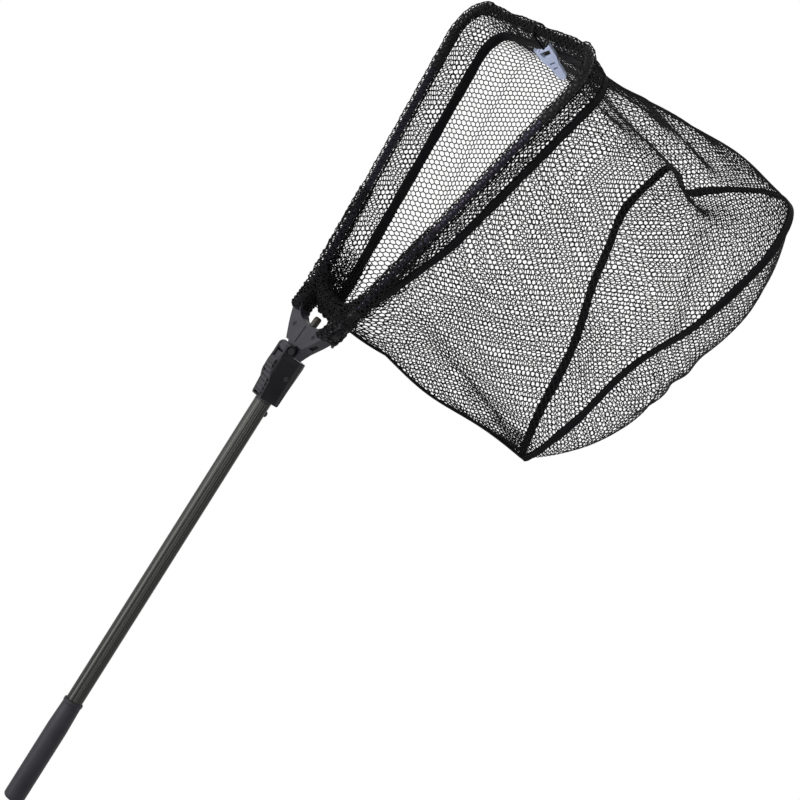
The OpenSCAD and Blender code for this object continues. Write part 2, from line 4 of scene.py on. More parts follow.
import bpy
import numpy as np
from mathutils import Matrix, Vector


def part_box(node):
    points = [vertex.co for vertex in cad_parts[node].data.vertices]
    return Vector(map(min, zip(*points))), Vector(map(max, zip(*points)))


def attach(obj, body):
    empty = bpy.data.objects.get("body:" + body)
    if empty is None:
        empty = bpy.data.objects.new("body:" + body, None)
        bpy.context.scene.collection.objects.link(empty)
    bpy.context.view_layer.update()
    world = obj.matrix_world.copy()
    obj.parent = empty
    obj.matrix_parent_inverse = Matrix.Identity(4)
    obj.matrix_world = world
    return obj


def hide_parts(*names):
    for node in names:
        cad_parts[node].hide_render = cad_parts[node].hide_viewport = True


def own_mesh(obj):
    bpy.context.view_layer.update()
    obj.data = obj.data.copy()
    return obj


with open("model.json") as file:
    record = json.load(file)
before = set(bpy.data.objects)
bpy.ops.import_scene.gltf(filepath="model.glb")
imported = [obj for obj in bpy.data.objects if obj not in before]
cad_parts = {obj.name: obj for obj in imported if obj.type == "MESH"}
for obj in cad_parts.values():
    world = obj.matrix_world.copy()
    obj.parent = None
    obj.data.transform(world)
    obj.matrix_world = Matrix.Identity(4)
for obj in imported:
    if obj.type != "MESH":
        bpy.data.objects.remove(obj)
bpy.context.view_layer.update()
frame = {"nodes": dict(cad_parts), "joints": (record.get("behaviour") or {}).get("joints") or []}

# CAMERA. A long lens looks at the net from the near side and a little above, rolled so that the
# handle climbs from the lower left and the hoop ends up at the top.
sc = bpy.context.scene
camera_turn = math.radians(-4.2)
camera_lift = math.radians(30.66)
camera_roll = math.radians(59.77)
look_at = Vector((0.46, 0.0, -0.12))
towards = Vector((
    -math.sin(camera_turn) * math.cos(camera_lift),
    -math.cos(camera_turn) * math.cos(camera_lift),
    math.sin(camera_lift),
))
level = (-towards).cross(Vector((0, 0, 1))).normalized()
upright = level.cross(-towards)
cam_right = level * math.cos(camera_roll) - upright * math.sin(camera_roll)
cam_up = level * math.sin(camera_roll) + upright * math.cos(camera_roll)
cam_data = bpy.data.cameras.new("camera")
cam_data.lens = 110.0
cam_data.sensor_width = 36.0
cam_data.clip_end = 30.0
camera = bpy.data.objects.new("camera", cam_data)
sc.collection.objects.link(camera)
cam_place = look_at + cam_right * 0.0642 + cam_up * 0.0606 + towards * 2.7129
for row in range(3):
    camera.matrix_world[row][0] = cam_right[row]
    camera.matrix_world[row][1] = cam_up[row]
    camera.matrix_world[row][2] = towards[row]
    camera.matrix_world[row][3] = cam_place[row]
sc.camera = camera
sc.view_settings.view_transform = "Standard"

# LIGHT. A big soft lamp overhead, weak ones on the camera's side and below the far end, and a
# pale surround that only the camera sees as plain white.
world = bpy.data.worlds.new("surround")
sc.world = world
world.use_nodes = True
sky = world.node_tree
sky.nodes.clear()
sky_out = sky.nodes.new("ShaderNodeOutputWorld")
sky_mix = sky.nodes.new("ShaderNodeMixShader")
sky_seen = sky.nodes.new("ShaderNodeBackground")
sky_seen.inputs["Color"].default_value = (1.0, 1.0, 1.0, 1.0)
sky_light = sky.nodes.new("ShaderNodeBackground")
sky_light.inputs["Color"].default_value = (0.93, 0.96, 1.0, 1.0)
sky_light.inputs["Strength"].default_value = 0.55
ray = sky.nodes.new("ShaderNodeLightPath")
seen = ray.outputs["Is Camera Ray"]
for also in ("Is Glossy Ray", "Is Transmission Ray"):
    either = sky.nodes.new("ShaderNodeMath")
    either.operation = "MAXIMUM"
    sky.links.new(seen, either.inputs[0])
    sky.links.new(ray.outputs[also], either.inputs[1])
    seen = either.outputs["Value"]
sky.links.new(seen, sky_mix.inputs["Fac"])
sky.links.new(sky_light.outputs["Background"], sky_mix.inputs[1])
sky.links.new(sky_seen.outputs["Background"], sky_mix.inputs[2])
sky.links.new(sky_mix.outputs["Shader"], sky_out.inputs["Surface"])


def lamp(name, place, aim, size, power):
    data = bpy.data.lights.new(name, "AREA")
    data.shape = "RECTANGLE"
    data.size, data.size_y = size
    data.energy = power
    o = bpy.data.objects.new(name, data)
    o.location = place
    o.rotation_euler = (Vector(aim) - Vector(place)).to_track_quat("-Z", "Y").to_euler()
    sc.collection.objects.link(o)
    return o


lamp("lamp_above", (0.25, -0.1, 2.0), (0.4, 0.0, 0.0), (2.2, 1.4), 60.0)
lamp("lamp_front", (0.2, -1.9, 1.0), (0.5, 0.0, -0.1), (1.4, 1.4), 7.0)
lamp("lamp_under", (1.6, -1.0, -1.2), (0.6, 0.0, -0.2), (1.2, 1.2), 8.0)


# GRIP. A hollow rubber handle pushed over the end of the outer tube, straight where the hand
# closes on it, slimmer towards a small lip at its front end.
def finish(name, dark, light, rough, grain, bump, metal=0.0, stretch=(1, 1, 1), shine=0.2, depth=0.0004):
    m = bpy.data.materials.new(name)
    m.use_nodes = True
    t = m.node_tree
    shade = t.nodes["Principled BSDF"]
    shade.inputs["Metallic"].default_value = metal
    shade.inputs["Specular IOR Level"].default_value = shine
    place = t.nodes.new("ShaderNodeTexCoord")
    spread = t.nodes.new("ShaderNodeMapping")
    spread.inputs["Scale"].default_value = stretch
    t.links.new(place.outputs["Object"], spread.inputs["Vector"])
    fine = t.nodes.new("ShaderNodeTexNoise")
    fine.inputs["Scale"].default_value = grain
    fine.inputs["Detail"].default_value = 4.0
    broad = t.nodes.new("ShaderNodeTexNoise")
    broad.inputs["Scale"].default_value = grain / 18
    broad.inputs["Detail"].default_value = 3.0
    for noise in (fine, broad):
        t.links.new(spread.outputs["Vector"], noise.inputs["Vector"])
    ramp = t.nodes.new("ShaderNodeValToRGB")
    ramp.color_ramp.elements[0].position = 0.3
    ramp.color_ramp.elements[1].position = 0.72
    ramp.color_ramp.elements[0].color = (*dark, 1.0)
    ramp.color_ramp.elements[1].color = (*light, 1.0)
    t.links.new(broad.outputs["Fac"], ramp.inputs["Fac"])
    t.links.new(ramp.outputs["Color"], shade.inputs["Base Color"])
    span = t.nodes.new("ShaderNodeMapRange")
    span.inputs["To Min"].default_value = rough[0]
    span.inputs["To Max"].default_value = rough[1]
    t.links.new(fine.outputs["Fac"], span.inputs["Value"])
    t.links.new(span.outputs["Result"], shade.inputs["Roughness"])
    relief = t.nodes.new("ShaderNodeBump")
    relief.inputs["Strength"].default_value = bump
    relief.inputs["Distance"].default_value = depth
    t.links.new(fine.outputs["Fac"], relief.inputs["Height"])
    t.links.new(relief.outputs["Normal"], shade.inputs["Normal"])
    return m


def paint(material, *names):
    for name in names:
        o = frame["nodes"][name]
        o.data.materials.clear()
        o.data.materials.append(material)


def soften(width, *names):
    # The moulded and turned parts get rounded edges from modifiers; their own meshes stay.
    for name in names:
        o = frame["nodes"][name]
        weld = o.modifiers.new("weld", "WELD")
        weld.merge_threshold = 0.000005
        edge = o.modifiers.new("edge", "BEVEL")
        edge.width = width
        edge.segments = 2
        edge.limit_method = "ANGLE"
        edge.angle_limit = math.radians(32)
        edge.harden_normals = False
        even = o.modifiers.new("even", "WEIGHTED_NORMAL")
        even.keep_sharp = True


rubber = finish("rubber", (0.007, 0.007, 0.010), (0.013, 0.012, 0.017), (0.42, 0.62), 900, 0.5)
paint(rubber, "grip")

# OUTER TUBE. A thin fluted aluminium tube, anodised dark gunmetal, glued into the grip. A plastic
# bush is pressed into its mouth, and the snap button comes through a hole beside it.
gunmetal = finish("gunmetal", (0.022, 0.022, 0.021), (0.032, 0.032, 0.03), (0.14, 0.2), 260, 0.03, 1.0, (0.06, 1, 1))
paint(gunmetal, "outer_tube")
bush_plastic = finish("bush_plastic", (0.007, 0.007, 0.007), (0.013, 0.013, 0.013), (0.38, 0.55), 700, 0.3)
paint(bush_plastic, "mouth_bush", "slide_bush", "snap_button")
spring_steel = finish("spring_steel", (0.32, 0.32, 0.33), (0.45, 0.45, 0.46), (0.25, 0.4), 400, 0.2, 1.0)
paint(spring_steel, "button_spring")

# INNER TUBE. The plain tube that slides in the outer one; the collar is pinned to its front end.
inner_alloy = finish("inner_alloy", (0.045, 0.045, 0.048), (0.07, 0.07, 0.074), (0.2, 0.3), 240, 0.08, 1.0, (0.06, 1, 1))
paint(inner_alloy, "inner_tube")

# COLLAR. Black moulded plastic with two ears for the fold pin, a ribbed thumb lever let into its
# top, and steel pins with round heads.
collar_plastic = finish("collar_plastic", (0.003, 0.003, 0.004), (0.006, 0.006, 0.008), (0.26, 0.4), 620, 0.3, shine=0.12)
lever_plastic = finish("lever_plastic", (0.008, 0.008, 0.011), (0.015, 0.015, 0.019), (0.34, 0.5), 620, 0.35)
pin_steel = finish("pin_steel", (0.02, 0.02, 0.022), (0.035, 0.035, 0.038), (0.3, 0.45), 500, 0.2, 1.0)
paint(collar_plastic, "collar")
paint(lever_plastic, "latch_lever")
paint(pin_steel, "collar_pin", "lever_pin", "fold_pin")
paint(spring_steel, "lever_spring")
soften(0.0005, "collar")
soften(0.0003, "latch_lever")

# FORK. Two glass-filled plastic halves screwed together, with a knuckle for the fold pin and a
# sprung plunger in the notch between its prongs.
fork_plastic = finish("fork_plastic", (0.011, 0.011, 0.014), (0.02, 0.02, 0.025), (0.36, 0.52), 560, 0.35)
plunger_plastic = finish("plunger_plastic", (0.014, 0.011, 0.008), (0.026, 0.02, 0.015), (0.3, 0.45), 600, 0.3)
paint(fork_plastic, "fork", "fork_cover")
paint(plunger_plastic, "plunger")
paint(pin_steel, "fork_screws")
paint(spring_steel, "plunger_spring")
soften(0.0007, "fork", "fork_cover")

# ARM PIVOTS. A steel rivet and a black socket on each prong; the arm tube is riveted into the
# socket.
paint(pin_steel, "left_pivot_pin", "right_pivot_pin", "left_rivets", "right_rivets")
socket_plastic = finish("socket_plastic", (0.006, 0.006, 0.007), (0.013, 0.013, 0.014), (0.3, 0.5), 640, 0.3)
paint(socket_plastic, "left_socket", "right_socket")
soften(0.0004, "left_socket", "right_socket")

# ARMS. Plain anodised tubes with a purple-grey sheen, each pushed into a thick black elbow that
# turns the corner of the hoop.
arm_alloy = finish("arm_alloy", (0.024, 0.021, 0.032), (0.04, 0.035, 0.054), (0.22, 0.34), 240, 0.1, 1.0, (0.06, 1, 1))
paint(arm_alloy, "left_arm_tube", "right_arm_tube")
elbow_plastic = finish("elbow_plastic", (0.005, 0.005, 0.005), (0.011, 0.011, 0.012), (0.24, 0.4), 520, 0.25)
paint(elbow_plastic, "left_elbow", "right_elbow")

# ARM SLEEVES. The rim of the bag is a knitted tube that the arms and elbows are threaded through.
# It is open hexagonal netting, a little wider than the arm, and it goes with the arm.
joints = {j["name"]: j for j in frame["joints"]}
fold_at = Vector(joints["hoop_fold"]["pos_m"])
tilt = math.atan2(joints["right_arm_fold"]["axis"][0], joints["right_arm_fold"]["axis"][2])


def leaned(p):
    # From the hoop's own upright frame to where the hoop leans at rest.
    x = p[..., 0] - fold_at.x
    z = p[..., 2] - fold_at.z
    c, s = math.cos(tilt), math.sin(tilt)
    return np.stack([fold_at.x + x * c + z * s, p[..., 1], fold_at.z - x * s + z * c], -1)


def unleaned(v):
    x, z = v[0] - fold_at.x, v[2] - fold_at.z
    c, s = math.cos(tilt), math.sin(tilt)
    return Vector((fold_at.x + x * c - z * s, v[1], fold_at.z + x * s + z * c))


pivot = unleaned(joints["left_arm_fold"]["pos_m"])
far_x = unleaned(joints["clip_swing"]["pos_m"]).x
arm_angle = math.radians(15.5)
slope = math.tan(arm_angle)
corner_r = 0.035
corner_turn = math.pi / 2 + arm_angle
corner_cut = corner_r * math.tan(corner_turn / 2)
arm_run = (far_x - pivot.x) / math.cos(arm_angle) - corner_cut
tip_y = pivot.y + slope * (far_x - pivot.x) - corner_cut


def solid(name, points, faces, material, body, smooth=True):
    mesh = bpy.data.meshes.new(name)
    mesh.vertices.add(len(points))
    mesh.vertices.foreach_set("co", np.asarray(points, np.float32).ravel())
    faces = np.asarray(faces, np.int32)
    n, k = faces.shape
    mesh.loops.add(n * k)
    mesh.loops.foreach_set("vertex_index", faces.ravel())
    mesh.polygons.add(n)
    mesh.polygons.foreach_set("loop_start", np.arange(0, n * k, k, dtype=np.int32))
    mesh.polygons.foreach_set("loop_total", np.full(n, k, np.int32))
    mesh.polygons.foreach_set("use_smooth", np.full(n, smooth))
    mesh.update(calc_edges=True)
    mesh.materials.append(material)
    o = bpy.data.objects.new(name, mesh)
    sc.collection.objects.link(o)
    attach(o, body)
    return o


def thread_mesh(a, b, normal, wide, thick):
    # Each length of thread from a to b is a three-sided rod, wider along the surface than across.
    d = b - a
    d /= np.maximum(np.linalg.norm(d, axis=1), 1e-9)[:, None]
    side = np.cross(d, normal)
    side /= np.maximum(np.linalg.norm(side, axis=1), 1e-9)[:, None]
    up = np.cross(side, d)
    ring = [side * (wide / 2) - up * (thick / 3), up * (thick * 0.67), -side * (wide / 2) - up * (thick / 3)]
    a, b = a - d * (wide * 0.3), b + d * (wide * 0.3)
    points = np.stack([a + ring[0], a + ring[1], a + ring[2], b + ring[0], b + ring[1], b + ring[2]], 1)
    base = (np.arange(len(a)) * 6)[:, None]
    faces = np.concatenate([base + np.array(q) for q in ([0, 1, 4, 3], [1, 2, 5, 4], [2, 0, 3, 5])])
    return points.reshape(-1, 3), faces


def normals_of(at, u, v):
    e = 1e-4
    n = np.cross(at(u + e, v) - at(u - e, v), at(u, v + e) - at(u, v - e))
    return n / np.maximum(np.linalg.norm(n, axis=1), 1e-12)[:, None]


def netting(at, across, along, wrap, seed):
    # A honeycomb over the surface at(u, v), with u and v from 0 to 1: each thread's two ends and
    # the surface's normal there.
    rng = np.random.default_rng(seed)
    i, j = np.meshgrid(np.arange(across + (0 if wrap else 1)), np.arange(along + 1), indexing="ij")
    zig = np.where((i + j) % 2 == 1, 0.22, -0.22)
    zig = np.where((j == 0) & (zig < 0), 0.0, np.where((j == along) & (zig > 0), 0.0, zig))
    u = (i + rng.uniform(-0.1, 0.1, i.shape) * (i > 0)) / across
    v = (j + zig + rng.uniform(-0.06, 0.06, i.shape) * (j > 0) * (j < along)) / along
    u, v = u.ravel(), v.ravel()
    points, normal = at(u, v), normals_of(at, u, v)
    rows = along + 1
    whole = across if wrap else across
    first, second = [], []
    for c in range(whole):
        nxt = (c + 1) % across if wrap else c + 1
        for r in range(rows):
            first.append(c * rows + r)
            second.append(nxt * rows + r)
            if (c + r) % 2 == 1 and r < along:
                first.append(c * rows + r)
                second.append(c * rows + r + 1)
    first, second = np.array(first), np.array(second)
    return points[first], points[second], normal[first], u[first], v[first]


net_black = finish("net_black", (0.0025, 0.0025, 0.003), (0.006, 0.006, 0.007), (0.5, 0.75), 900, 0.4, shine=0.1)


def arm_sleeve(side):
    straight = arm_run - 0.037
    bend = corner_r * corner_turn
    whole = straight + bend

    def at(u, v):
        run = v * whole
        bent = np.clip(run - straight, 0, None) / corner_r
        along_arm = 0.037 + np.minimum(run, straight)
        x = along_arm + corner_r * np.sin(bent)
        y = -corner_r * (1 - np.cos(bent))
        ring = 2 * math.pi * u
        loose = 0.0003 * np.sin(9 * ring / math.pi + 160 * v) + 0.0004 * np.sin(70 * v)
        out = (0.0078 + loose) * np.cos(ring)
        x = x + out * np.sin(bent)
        y = y + out * np.cos(bent)
        z = (0.0064 + loose * 0.4) * np.sin(ring)
        c, s = math.cos(arm_angle), math.sin(arm_angle)
        place = np.stack([pivot.x + x * c - y * s, side * (pivot.y + x * s + y * c), z], -1)
        return leaned(place)

    whole_net = [thread_mesh(*netting(at, 14, int(whole / 0.0044), True, 3 + side)[:3], 0.00125, 0.0009)]

    def base_at(u, v):
        # The netting is pushed together towards the fork, so it stands off the arm in loose rings.
        run = v**1.5 * 0.14
        ring = 2 * math.pi * u
        puff = (1 - v) * (0.0016 + 0.0012 * np.sin(60 * v + 2 * ring)) + 0.0005 * np.sin(150 * v + 3 * ring)
        out = (0.0084 + puff) * np.cos(ring)
        c, s = math.cos(arm_angle), math.sin(arm_angle)
        x, y = 0.014 + run, out
        place = np.stack([pivot.x + x * c - y * s, side * (pivot.y + x * s + y * c), (0.0074 + puff) * np.sin(ring)], -1)
        return leaned(place)

    whole_net.append(thread_mesh(*netting(base_at, 16, 38, True, 9 + side)[:3], 0.0013, 0.0010))
    return np.concatenate([w[0] for w in whole_net]), np.concatenate([whole_net[0][1], whole_net[1][1] + len(whole_net[0][0])])


for side, word in ((1, "left"), (-1, "right")):
    points, faces = arm_sleeve(side)
    sleeve = solid(word + "_sleeve_net", points, faces, net_black, word + "_arm")
    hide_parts(word + "_sleeve")

# FAR SIDE. A braided cord is knotted into the two elbows and closes the hoop. The same knitted
# tube is gathered round it in several layers.
cord_black = finish("cord_black", (0.004, 0.004, 0.004), (0.009, 0.009, 0.01), (0.55, 0.75), 1200, 0.5, shine=0.1)
half_cord = tip_y - 0.0003


def cord_at(u, v):
    y = (v * 2 - 1) * half_cord
    ring = 2 * math.pi * u
    r = 0.0021 + 0.0003 * np.abs(np.sin(1.5 * ring + y * 420))
    place = np.stack([far_x + r * np.cos(ring), y, r * np.sin(ring)], -1)
    return leaned(place)


def tube_grid(at, around, along):
    u, v = np.meshgrid(np.arange(around) / around, np.arange(along + 1) / along, indexing="ij")
    points = at(u.ravel(), v.ravel())
    i, j = np.meshgrid(np.arange(around), np.arange(along), indexing="ij")
    i, j = i.ravel(), j.ravel()
    k, rows = (i + 1) % around, along + 1
    return points, np.stack([i * rows + j, k * rows + j, k * rows + j + 1, i * rows + j + 1], 1)


points, faces = tube_grid(cord_at, 18, 260)
front_cord = solid("front_cord_braid", points, faces, cord_black, "head")
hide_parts("front_cord")
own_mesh(front_cord)

layers = []
for number, radius in enumerate((0.0034, 0.0062)):

    def gathered_at(u, v, radius=radius, number=number):
        y = (v * 2 - 1) * (tip_y + 0.004)
        ring = 2 * math.pi * u
        loose = 0.0004 * np.sin(150 * y + 2 * number + ring) + (0.0002 + 0.0007 * number) * np.sin(70 * y + 2 * ring)
        place = np.stack([far_x + (radius + loose) * np.cos(ring), y, (radius + loose) * np.sin(ring)], -1)
        return leaned(place)

    a, b, n, u, v = netting(gathered_at, 13 - 2 * number, 66 - 22 * number, True, 20 + number)
    layers.append(thread_mesh(a, b, n, 0.0012, 0.0009))
points = np.concatenate([p for p, f in layers])
counts = np.cumsum([0] + [len(p) for p, f in layers])
faces = np.concatenate([f + counts[k] for k, (p, f) in enumerate(layers)])
front_net = solid("front_sleeve_net", points, faces, net_black, "head")
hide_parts("front_sleeve")
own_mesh(front_net)

# BAG WALLS. One band of soft knitted netting runs round the hoop and hangs down to the hem. The
# seam tape draws it in below the arms, and the fork's side of it is bunched between the prongs.
rim_z, seam_z, throat_z, bag_deep = 0.0058, 0.0395, 0.095, 0.324
tape_wide = 0.0115
fork_half = (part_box("fork_cover")[1][2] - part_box("fork")[0][2]) / 2
apex_x = pivot.x + 0.012
join_x = pivot.x + 0.149


def arm_line(x):
    return pivot.y + slope * (x - pivot.x)


def bag_loops():
    share = [(0, 0), (0.09, 0.175), (0.21, 0.33), (0.37, 0.49), (0.55, 0.66), (0.76, 0.84), (1, 1)]
    sharp = [(apex_x + a * (join_x - apex_x), b * arm_line(join_x)) for a, b in share]
    blunt = [(apex_x, 0), (apex_x + 0.001, 0.020), (apex_x + 0.005, 0.038)]
    blunt += [(apex_x + a, arm_line(apex_x + a)) for a in (0.018, 0.050, 0.090)] + [(join_x, arm_line(join_x))]
    end_x = far_x - corner_r - corner_r * math.sin(arm_angle)
    rest = [(join_x + (end_x - join_x) * k / 5, arm_line(join_x + (end_x - join_x) * k / 5)) for k in range(1, 6)]
    for k in range(1, 13):
        a = corner_turn * (1 - k / 12)
        rest.append((far_x - corner_r + corner_r * math.cos(a), tip_y + corner_r * math.sin(a)))
    rest += [(far_x, tip_y * (1 - k / 4)) for k in range(1, 5)]
    out = []
    for head in (sharp, blunt):
        half = head + rest
        loop = np.array(half + [(x, -y) for x, y in half[-2::-1]])
        index = np.linspace(0, len(loop) - 1, 24 * (len(loop) - 1) + 1)
        dense = np.stack([np.interp(index, np.arange(len(loop)), loop[:, k]) for k in range(2)], 1)[:-1]
        out.append(sum(np.roll(dense, s, 0) for s in range(-9, 10)) / 19)
    run = np.concatenate([[0], np.cumsum(np.linalg.norm(np.diff(np.vstack([out[1], out[1][:1]]), axis=0), axis=1))])
    return run / run[-1], out[0], out[1], run[-1]


loop_t, loop_sharp, loop_blunt, loop_run = bag_loops()
# How the hem hangs: share of the way round from the apex, then x and y in mm.
hem_line = np.array([
    (0, 585, 0), (0.072, 607, 16), (0.094, 633, 32), (0.116, 660, 42), (0.139, 690, 50), (0.171, 730, 60),
    (0.199, 765, 77), (0.227, 800, 99), (0.26, 842, 118), (0.286, 875, 139), (0.306, 898, 153), (0.322, 920, 150),
    (0.342, 945, 140), (0.372, 966, 131), (0.405, 970, 108), (0.43, 964, 86), (0.444, 950, 71), (0.458, 947, 54),
    (0.476, 960, 36), (0.512, 978, -8), (0.55, 990, -52), (0.592, 994, -103), (0.62, 987, -132), (0.646, 966, -146),
    (0.675, 926, -150), (0.696, 897, -140), (0.716, 872, -131), (0.766, 809, -108), (0.797, 770, -80),
    (0.827, 733, -62), (0.861, 690, -50), (0.885, 660, -40), (0.905, 635, -26), (0.928, 607, -12), (1, 585, 0),
])
seam_dip = np.array([
    (0, 20), (0.03, 31), (0.062, 39), (0.50, 40), (0.62, 35), (0.84, 32), (0.864, 27), (0.888, 22), (0.92, 14),
    (0.94, 8), (0.97, 11), (1, 20),
])
seam_in = np.array([
    (0, 0), (0.1, 2), (0.2, 5), (0.33, 8), (0.38, 11), (0.45, 6), (0.55, 4), (0.63, 8), (0.75, 7), (0.9, 6), (1, 0),
])


def follow(table, t, column=1):
    t = np.asarray(t) % 1.0
    steps = [np.interp((t + s) % 1.0, table[:, 0], table[:, column]) for s in (-0.012, -0.006, 0, 0.006, 0.012)]
    return sum(steps) / 5000


def round_loop(points, t):
    closed = np.vstack([points, points[:1]])
    return np.stack([np.interp(t % 1.0, loop_t, closed[:, k]) for k in range(2)], -1)


def outward(points, t):
    along = round_loop(points, t + 0.004) - round_loop(points, t - 0.004)
    along /= np.maximum(np.linalg.norm(along, axis=-1), 1e-9)[..., None]
    return np.stack([along[..., 1], -along[..., 0]], -1)


def bag_at(t, depth):
    t, depth = np.broadcast_arrays(np.asarray(t, float), np.asarray(depth, float))
    out = -outward(loop_blunt, t)
    rim = round_loop(loop_blunt, t)
    seam = rim - out * follow(seam_in, t)[..., None]
    hem = np.stack([follow(hem_line, t, 1), follow(hem_line, t, 2)], -1)
    throat = round_loop(loop_sharp, t) * 0.86 + hem * 0.14
    seam_down = follow(seam_dip, t)
    a = np.clip((depth - rim_z) / (seam_z - rim_z), 0, 1)
    b = np.clip((depth - seam_z) / (throat_z - seam_z), 0, 1)
    c = np.clip((depth - throat_z) / (bag_deep - throat_z), 0, 1)
    b = b * b * (3 - 2 * b) * 0.5 + b * 0.5
    p = rim + (seam - rim) * a[..., None] + (throat - seam) * b[..., None] + (hem - throat) * c[..., None]
    z = rim_z + (seam_down - rim_z) * a + (throat_z - seam_down) * b + (bag_deep - throat_z) * c
    z = z + np.clip(depth - bag_deep, 0, None)
    ease = np.sin(math.pi * c) ** 0.8 + 0.35 * np.sin(math.pi * b)
    wave = 0.0036 * np.sin(2 * math.pi * 6 * t + 1.1 + 2.5 * c) + 0.0026 * np.sin(2 * math.pi * 11 * t + 2.0 - 3.0 * c)
    wave += 0.0016 * np.sin(2 * math.pi * 23 * t + 7.0 * c) + 0.0020 * np.sin(math.pi * a) * np.sin(2 * math.pi * 31 * t)
    full = 0.016 * np.exp(-(((t % 1.0) - 0.47) / 0.05) ** 2) + 0.008 * np.exp(-(((t % 1.0) - 0.19) / 0.07) ** 2)
    full = full + 0.008 * np.exp(-(((t % 1.0) - 0.81) / 0.07) ** 2) + 0.012 * np.exp(-(((t % 1.0) - 0.58) / 0.05) ** 2)
    p = p + out * (wave * ease + full * np.sin(math.pi * c))[..., None]
    dip = 0.003 * np.sin(2 * math.pi * 5 * t + 0.6) * c
    return leaned(np.stack([p[..., 0], p[..., 1], -z + dip], -1))


columns = int(loop_run / 0.0030 / 2) * 2
rows = int((bag_deep - rim_z) / 0.0052)


def wall_at(u, v):
    return bag_at(u, rim_z + v * (bag_deep - rim_z))


a, b, n, u, v = netting(wall_at, columns, rows, True, 7)
for name, pick, node, body in (
    ("left_wall_net", u < 0.347, "left_wall", "left_arm"),
    ("end_wall_net", (u >= 0.347) & (u <= 0.653), "end_wall", "head"),
    ("right_wall_net", u > 0.653, "right_wall", "right_arm"),
):
    points, faces = thread_mesh(a[pick], b[pick], n[pick], 0.00125, 0.0009)
    wall = solid(name, points, faces, net_black, body)
    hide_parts(node)
    if body == "head":
        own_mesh(wall)

# RIM BAND. Above the seam tape the netting is folded double, a little slack and out of step with
# the outer layer, so this strip looks finer and darker than the bag below it.


def band_at(u, v):
    p = bag_at(u + 0.0012, rim_z + v * (seam_z - rim_z))
    slack = 0.0012 + 0.0012 * np.sin(2 * math.pi * 43 * u) * np.sin(math.pi * v)
    inner = outward(loop_blunt, u % 1.0) * slack[..., None]
    return p - np.stack([inner[..., 0], inner[..., 1], 0 * slack], -1)


a, b, n, u, v = netting(band_at, columns - 40, 8, True, 31)
for name, pick, body in (
    ("left_rim_band_net", u < 0.347, "left_arm"),
    ("end_rim_band_net", (u >= 0.347) & (u <= 0.653), "head"),
    ("right_rim_band_net", u > 0.653, "right_arm"),
):
    points, faces = thread_mesh(a[pick], b[pick], n[pick], 0.0012, 0.0009)
    band = solid(name, points, faces, net_black, body)
    if body == "head":
        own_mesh(band)

# BUNCHED RIM. Between the prongs the netting is rolled up and gathered on a cord, several layers
# thick, so that hardly any light comes through it.
layers = []
for number in range(5):

    def bunch_at(u, v, number=number):
        t = (u - 0.5) * (0.20 - 0.018 * number)
        p = bag_at(t % 1.0, rim_z + v * 0.046 * (1 - 0.1 * number))
        push = 0.0022 * number - 0.004 + 0.0014 * np.sin(60 * u + 9 * number) * np.sin(14 * v + number)
        middle = leaned(np.array([pivot.x + 0.15, 0.0, -0.02]))
        away = p - middle
        away /= np.linalg.norm(away, axis=-1)[..., None]
        return p + away * push[..., None]

    a, b, n, u, v = netting(bunch_at, 64 - 4 * number, 11 - number % 3, False, 40 + number)
    layers.append(thread_mesh(a, b, n, 0.0013, 0.0010))
for number in range(4):

    def roll_at(u, v, number=number):
        t = (v - 0.5) * 0.135
        centre = round_loop(loop_blunt, t % 1.0)
        ring = 2 * math.pi * u
        r = 0.0088 - 0.0019 * number + 0.0007 * np.sin(150 * v + 3 * number) + 0.0006 * np.sin(3 * ring + 50 * v)
        side = outward(loop_blunt, t % 1.0)
        xy = centre + side * (0.0095 + r * np.cos(ring))[..., None]
        low = -0.0046 - 0.004 * np.cos(math.pi * (v - 0.5)) ** 2
        return leaned(np.stack([xy[..., 0], xy[..., 1], low + r * 1.1 * np.sin(ring)], -1))

    a, b, n, u, v = netting(roll_at, 18 - number, 46 - 3 * number, True, 60 + number)
    layers.append(thread_mesh(a, b, n, 0.0013, 0.0010))
for side in (1, -1):
    for number in range(2):

        def prong_at(u, v, side=side, number=number):
            # Pulled back over the end of the prong, with a loose uneven edge.
            ring = 2 * math.pi * u
            back = (0.003 if side > 0 else 0.013) + 0.0015 * np.sin(3 * ring + 1.5 * side)
            x = pivot.x + 0.026 - v * (0.026 + back)
            puff = 0.0011 * number + 0.0006 * np.sin(40 * v + 2 * ring + number)
            inward = 0.0006 if side > 0 else 0.0026
            middle = pivot.y - inward - 0.6 * np.clip(pivot.x - x, 0, 1)
            wide = (0.0106 + puff) * np.cos(ring)
            tall = (fork_half + 0.0022 + puff) * np.sin(ring)
            return leaned(np.stack([x, side * (middle + wide), tall], -1))

        a, b, n, u, v = netting(prong_at, 22 - 2 * number, 11, True, 80 + number)
        layers.append(thread_mesh(a, b, n, 0.0014, 0.0010))
points = np.concatenate([p for p, f in layers])
counts = np.cumsum([0] + [len(p) for p, f in layers])
faces = np.concatenate([f + counts[k] for k, (p, f) in enumerate(layers)])
bunch = solid("bunched_rim_net", points, faces, net_black, "head")
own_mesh(bunch)

# BELLY. A second piece of the same netting closes the bag and hangs as a deep pouch below the hem.
belly_deep = 0.083
middle_x = pivot.x + 0.194
turn_t = np.arange(1440) / 1440


def by_angle(points):
    angle = np.arctan2(points[:, 1], points[:, 0] - middle_x)
    order = np.argsort(angle)
    reach = np.hypot(points[:, 0] - middle_x, points[:, 1])
    return angle[order], reach[order], turn_t[order]


